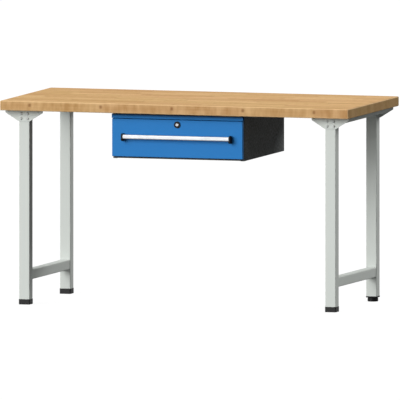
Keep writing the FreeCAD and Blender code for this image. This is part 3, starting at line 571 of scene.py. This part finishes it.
def hexagon_bolt(maker, matrix):
    """Chamfered hexagon head on the surface, and a shank below it."""
    steps, chamfer, point_width, point_length = 36, math.radians(30), 0.6 * MM, 0.8 * MM
    crown = 0.93 * BOLT_HALF_FLATS
    sixth = FULL_TURN / 6
    base, shoulder, rim = [], [], []
    for step in range(steps):
        angle = FULL_TURN * step / steps
        reach = BOLT_HALF_FLATS / math.cos((angle + sixth / 2) % sixth - sixth / 2)
        drop = max(0.0, reach - crown) * math.tan(chamfer)
        base.append((reach * math.cos(angle), reach * math.sin(angle), 0))
        shoulder.append((reach * math.cos(angle), reach * math.sin(angle), BOLT_HEAD - drop))
        rim.append((crown * math.cos(angle), crown * math.sin(angle), BOLT_HEAD))
    maker.skin([[(0, 0, 0)], base, shoulder, rim, [(0, 0, BOLT_HEAD)]], matrix)
    shank = [(0.0, 0.0), (BOLT_RADIUS, 0.0), (BOLT_RADIUS, point_length - BOLT_LENGTH),
             (BOLT_RADIUS - point_width, -BOLT_LENGTH), (0.0, -BOLT_LENGTH)]
    maker.lathe(shank, matrix)


def pan_screw(maker, matrix):
    """Domed head with a cross recess, standing on the surface."""
    radius, height, fall, roundness = 5 * MM, 2.8 * MM, 0.55, 2.6
    arm, reach, depth, core, rise = 0.65 * MM, 2.9 * MM, 1.7 * MM, 1.2 * MM, 0.55
    steps, rings = 48, 9
    rows = [[(0, 0, height - depth)]]
    for ring in range(1, rings + 1):
        distance = radius * ring / rings
        row = []
        for step in range(steps):
            angle = FULL_TURN * step / steps
            px, py = distance * math.cos(angle), distance * math.sin(angle)
            level = height * (1 - fall * (distance / radius) ** roundness)
            in_cross = min(abs(px), abs(py)) < arm and max(abs(px), abs(py)) < reach
            if in_cross or distance < core:
                level -= depth * (1 - rise * distance / reach)
            row.append((px, py, level))
        rows.append(row)
    rows.append([(px, py, 0.0) for px, py, _ in rows[-1]])
    rows.append([(0, 0, 0)])
    maker.skin(rows, matrix)


def make_frame_bolts():
    for side in ("left", "right"):
        low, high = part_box(side + "_top_traverse")
        middle = (low.x + high.x) / 2
        maker = Maker(side + "_hexagon_bolts")
        for y, direction in ((low.y, -1), (high.y, 1)):
            for column in (-BOLT_COLUMN, BOLT_COLUMN):
                for row in BOLT_ROWS:
                    hexagon_bolt(maker, facing((0, direction, 0), (middle + column, y, high.z - row)))
        maker.done("bench", [DULL_ZINC], [side + "_frame_bolts"])


def make_traverse_flanges():
    """Outer edge of each traverse, folded down and inwards between its end plates."""
    tip, arc = TRAVERSE_SHEET / 2, 8
    slope = math.atan2(FLANGE_DEPTH - TRAVERSE_SHEET, FLANGE_INSET)
    inner_root = TRAVERSE_SHEET / math.sin(slope)
    centre = (FLANGE_INSET + tip * math.sin(slope), FLANGE_DEPTH - tip * math.cos(slope))
    outline = [(0.0, TRAVERSE_SHEET)]
    for step in range(arc + 1):
        angle = slope + math.pi / 2 - math.pi * step / arc
        outline.append((centre[0] + tip * math.cos(angle), centre[1] + tip * math.sin(angle)))
    outline.append((inner_root, TRAVERSE_SHEET))
    for side, sign in (("left", -1), ("right", 1)):
        low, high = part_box(side + "_top_traverse")
        outer = high.x if sign > 0 else low.x
        maker = Maker(side + "_traverse_flange")
        maker.strip([[(outer - sign * inward, y, high.z - down) for inward, down in outline]
                     for y in (low.y + TRAVERSE_SHEET, high.y - TRAVERSE_SHEET)])
        maker.done("bench", [LOOKS["light_grey_paint"]])


def make_wood_screws():
    """Screws up into the top, through the traverses and the housing's flanges."""
    for side in ("left", "right"):
        low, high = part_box(side + "_top_traverse")
        middle = (low.x + high.x) / 2
        maker = Maker(side + "_traverse_screws")
        for x in (middle - TRAVERSE_SCREW_COLUMN, middle + TRAVERSE_SCREW_COLUMN):
            for y in TRAVERSE_SCREW_ROWS:
                pan_screw(maker, facing((0, 0, -1), (x, y, high.z - TRAVERSE_SHEET)))
        maker.done("bench", [LOOKS["zinc_steel"]])

        low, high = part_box(f"housing_{side}_side")
        x = (low.x + high.x) / 2
        maker = Maker(side + "_housing_screws")
        for y in HOUSING_SCREW_ROWS:
            pan_screw(maker, facing((0, 0, -1), (x, y, high.z - HOUSING_SHEET)))
        maker.done("bench", [LOOKS["zinc_steel"]])


def weld_bead(maker, x_low, x_high, y, z, out_y, out_z):
    """Rippled bead in the corner at (y, z), on faces that leave it along out_y and out_z."""
    size, sink, hollow = 3.4 * MM, 0.2 * MM, 0.16
    ripple_depth, ripple_pitch, ripple_lag = 0.07, 2.3 * MM, 0.8
    end_slope, end_size = 8, 0.25
    steps, arc = 60, 7
    rows = []
    for step in range(steps + 1):
        share = step / steps
        x = x_low + (x_high - x_low) * share
        taper = min(1.0, end_slope * share + end_size, end_slope * (1 - share) + end_size)
        row = [(x, y - sink * out_y, z - sink * out_z)]
        for index in range(arc):
            angle = math.pi / 2 * index / (arc - 1)
            phase = FULL_TURN * x / ripple_pitch + ripple_lag * math.sin(2 * angle)
            bulge = 1 - hollow + hollow * abs(math.cos(2 * angle)) + ripple_depth * math.sin(phase)
            radius = size * taper * bulge
            row.append((x, y + out_y * radius * math.cos(angle), z + out_z * radius * math.sin(angle)))
        rows.append(row)
    ends = [[tuple(sum(p[i] for p in row) / len(row) for i in range(3))] for row in (rows[0], rows[-1])]
    maker.skin([ends[0], *rows, ends[1]])


def make_welds():
    """Beads over and under both ends of each rung, clear of its rounded corners."""
    corner = 4 * MM
    for side in ("left", "right"):
        low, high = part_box(side + "_lower_rung")
        maker = Maker(side + "_rung_welds")
        for y, out_y in ((low.y, 1), (high.y, -1)):
            for z, out_z in ((low.z, -1), (high.z, 1)):
                weld_bead(maker, low.x + corner, high.x - corner, y, z, out_y, out_z)
        maker.done("bench", [LOOKS["light_grey_paint"]], sharp=60.0)


def make_spindle():
    """Levelling spindle with a rolled thread."""
    flank, root, run_out = 2.6, 0.15, 1.2 * MM
    steps, rows_per_turn = 30, 8
    low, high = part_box("leveller_spindle")
    radius, length = (high.x - low.x) / 2, high.z - low.z
    count = round(length / THREAD_PITCH * rows_per_turn)
    rows = [[(0, 0, 0)]]
    for index in range(count + 1):
        height = length * index / count
        near_end = min(1.0, min(height, length - height) / run_out)
        row = []
        for step in range(steps):
            turn = (height / THREAD_PITCH - step / steps) % 1.0
            ridge = min(1.0, max(0.0, flank * (0.5 - abs(turn - 0.5)) - root))
            reach = radius - THREAD_DEPTH * (1 - ridge * near_end)
            angle = FULL_TURN * step / steps
            row.append((reach * math.cos(angle), reach * math.sin(angle), height))
        rows.append(row)
    rows.append([(0, 0, length)])
    maker = Maker("levelling_spindle_thread")
    maker.skin(rows, Matrix.Translation(((low.x + high.x) / 2, (low.y + high.y) / 2, low.z)))
    maker.done("levelling_spindle", [LOOKS["zinc_steel"]], ["leveller_spindle"], 50.0)


def bent(x, z, sign, radius):
    """Quarter circle from the top face round to the web."""
    angles = [math.pi / 2 * step / 4 for step in range(5)]
    return [(x + sign * radius * (1 - math.sin(a)), z - radius * (1 - math.cos(a))) for a in angles]


def cage_outline(web, tip, level, sign):
    """Section of a bent strip: two arms at plus and minus the level, and the web between them."""
    half = CAGE_SHEET / 2
    outer = [(tip, level + half)] + bent(web, level + half, sign, CAGE_BEND)
    outer += [(x, -z) for x, z in reversed(outer)]
    inner = [(tip, level - half)] + bent(web + sign * CAGE_SHEET, level - half, sign, CAGE_BEND - half)
    inner += [(x, -z) for x, z in reversed(inner)]
    return outer + inner[::-1]


def ball_profile():
    """Half circle of (radius, height) points, with its ends on the axis."""
    arc = 8
    angles = [math.pi * step / arc for step in range(1, arc)]
    round_part = [(BALL_RADIUS * math.sin(a), -BALL_RADIUS * math.cos(a)) for a in angles]
    return [(0, -BALL_RADIUS), *round_part, (0, BALL_RADIUS)]


def make_ball_cages():
    """Bent retainer strips with rows of round balls, in place of the plain ones."""
    for side, sign in (("left", 1), ("right", -1)):
        housing_low, housing_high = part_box(f"housing_{side}_side")
        wall = housing_low.x + HOUSING_SHEET if sign > 0 else housing_high.x - HOUSING_SHEET
        for cage in ("outer", "inner"):
            node = f"{side}_{cage}_ball_cage"
            low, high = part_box(node)
            web, tip = (low.x, high.x) if sign > 0 else (high.x, low.x)
            middle_y, middle_z = (low.y + high.y) / 2, (low.z + high.z) / 2
            level = (high.z - low.z) / 2 - BALL_RADIUS
            outline = cage_outline(web, tip, level, sign)
            maker = Maker(f"{side}_{cage}_ball_retainer")
            maker.strip([[(x, y, middle_z + z) for x, z in outline] for y in (low.y, high.y)])
            x = wall + sign * OUTER_BALL_REACH if cage == "outer" else (web + sign * CAGE_SHEET + tip) / 2
            for index in range(BALLS_PER_ROW):
                y = middle_y + BALL_ROW_LENGTH * (index / (BALLS_PER_ROW - 1) - 0.5)
                for z in (middle_z - level, middle_z + level):
                    maker.lathe(ball_profile(), Matrix.Translation((x, y, z)), steps=14, material=1)
            maker.done(f"{side}_{cage}_cage", [LOOKS["zinc_steel"], NICKEL], [node])


def make_rivets():
    """Rivet heads that hold the runners' inner members to the drawer's sides."""
    profile = [(radius * MM, height * MM) for radius, height in RIVET_PROFILE_MM]
    for side, sign in (("left", -1), ("right", 1)):
        low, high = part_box(f"{side}_runner_inner")
        wall_low, wall_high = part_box(f"drawer_{side}_side")
        outer = wall_high.x if sign > 0 else wall_low.x
        maker = Maker(side + "_runner_rivets")
        for share in RIVET_SHARES:
            y = low.y + (high.y - low.y) * share
            place = (outer - sign * DRAWER_SHEET, y, (low.z + high.z) / 2)
            maker.lathe(profile, facing((-sign, 0, 0), place))
        maker.done("drawer", [LOOKS["zinc_steel"]])


def seen_directly(look):
    """1 for rays from the camera or through glass, which see a white studio, and less for reflections."""
    path = look.add("LightPath")
    reflected = look.math("MULTIPLY", path.outputs["Is Glossy Ray"], REFLECTION_LEVEL)
    seen = look.math("MAXIMUM", path.outputs["Is Camera Ray"], path.outputs["Is Transmission Ray"])
    return look.math("MAXIMUM", seen, reflected)


def grey(level):
    return (level, level, level, 1)


def make_world():
    """Sky that grows brighter upwards, and looks white to the camera."""
    world = bpy.data.worlds.new("studio")
    bpy.context.scene.world = world
    look = Look(world)
    _, _, rise = look.split(look.add("TexCoord").outputs["Generated"])
    ambient = look.mix(look.spread(rise, 0.0, 1.0), grey(HORIZON_LEVEL), grey(ZENITH_LEVEL))
    background = look.add("Background")
    look.feed(background.inputs["Color"], look.mix(seen_directly(look), ambient, grey(1)))
    look.tree.links.new(background.outputs[0], look.add("OutputWorld").inputs["Surface"])


def make_floor():
    """Pale floor that keeps the bench's shadow and can't be seen from below."""
    look = new_look("pale_floor")
    link = look.tree.links.new
    matt = look.add("BsdfDiffuse")
    matt.inputs["Color"].default_value = grey(FLOOR_SHADE)
    glow = look.add("Emission")
    glow.inputs["Color"].default_value = grey(FLOOR_GLOW)
    lit = look.add("AddShader")
    link(matt.outputs[0], lit.inputs[0])
    link(glow.outputs[0], lit.inputs[1])
    choice = look.add("MixShader")
    look.feed(choice.inputs[0], seen_directly(look))
    link(matt.outputs[0], choice.inputs[1])
    link(lit.outputs[0], choice.inputs[2])
    one_sided = look.add("MixShader")
    look.feed(one_sided.inputs[0], look.add("NewGeometry").outputs["Backfacing"])
    link(choice.outputs[0], one_sided.inputs[1])
    link(look.add("BsdfTransparent").outputs[0], one_sided.inputs[2])
    link(one_sided.outputs[0], look.add("OutputMaterial").inputs["Surface"])

    mesh = bpy.data.meshes.new("floor")
    corners = [(x * FLOOR_REACH, y * FLOOR_REACH, 0) for x, y in ((-1, -1), (1, -1), (1, 1), (-1, 1))]
    mesh.from_pydata(corners, [], [(0, 1, 2, 3)])
    mesh.materials.append(look.owner)
    plane = bpy.data.objects.new("floor", mesh)
    bpy.context.scene.collection.objects.link(plane)


def make_lamp(name, direction, distance, size, level):
    """Square soft light that gives a face turned to it that share of full light."""
    light = bpy.data.lights.new(name, "AREA")
    light.shape = "SQUARE"
    light.size = size
    light.energy = level * math.pi ** 2 * distance ** 2
    lamp = bpy.data.objects.new(name, light)
    bpy.context.scene.collection.objects.link(lamp)
    away = Vector(direction).normalized()
    lamp.location = CAMERA_TARGET + away * distance
    lamp.rotation_mode = "QUATERNION"
    lamp.rotation_quaternion = away.to_track_quat("Z", "Y")


def make_camera():
    camera = bpy.data.cameras.new("camera")
    camera.type = "ORTHO"
    camera.ortho_scale = FIELD_WIDTH
    holder = bpy.data.objects.new("camera", camera)
    bpy.context.scene.collection.objects.link(holder)
    level = math.cos(CAMERA_ELEVATION)
    away = Vector((math.sin(CAMERA_AZIMUTH) * level,
                   -math.cos(CAMERA_AZIMUTH) * level,
                   math.sin(CAMERA_ELEVATION)))
    holder.location = CAMERA_TARGET + away * CAMERA_DISTANCE
    holder.rotation_mode = "QUATERNION"
    holder.rotation_quaternion = away.to_track_quat("Z", "Y")
    bpy.context.scene.camera = holder


dress_frame()
make_frame_bolts()
make_traverse_flanges()
make_wood_screws()
make_welds()
make_spindle()
make_ball_cages()
make_rivets()
make_world()
make_floor()
make_lamp("key", KEY_DIRECTION, KEY_DISTANCE, KEY_SIZE, KEY_LEVEL)
make_lamp("fill", FILL_DIRECTION, FILL_DISTANCE, FILL_SIZE, FILL_LEVEL)
make_camera()
bpy.context.scene.view_settings.view_transform = "Standard"
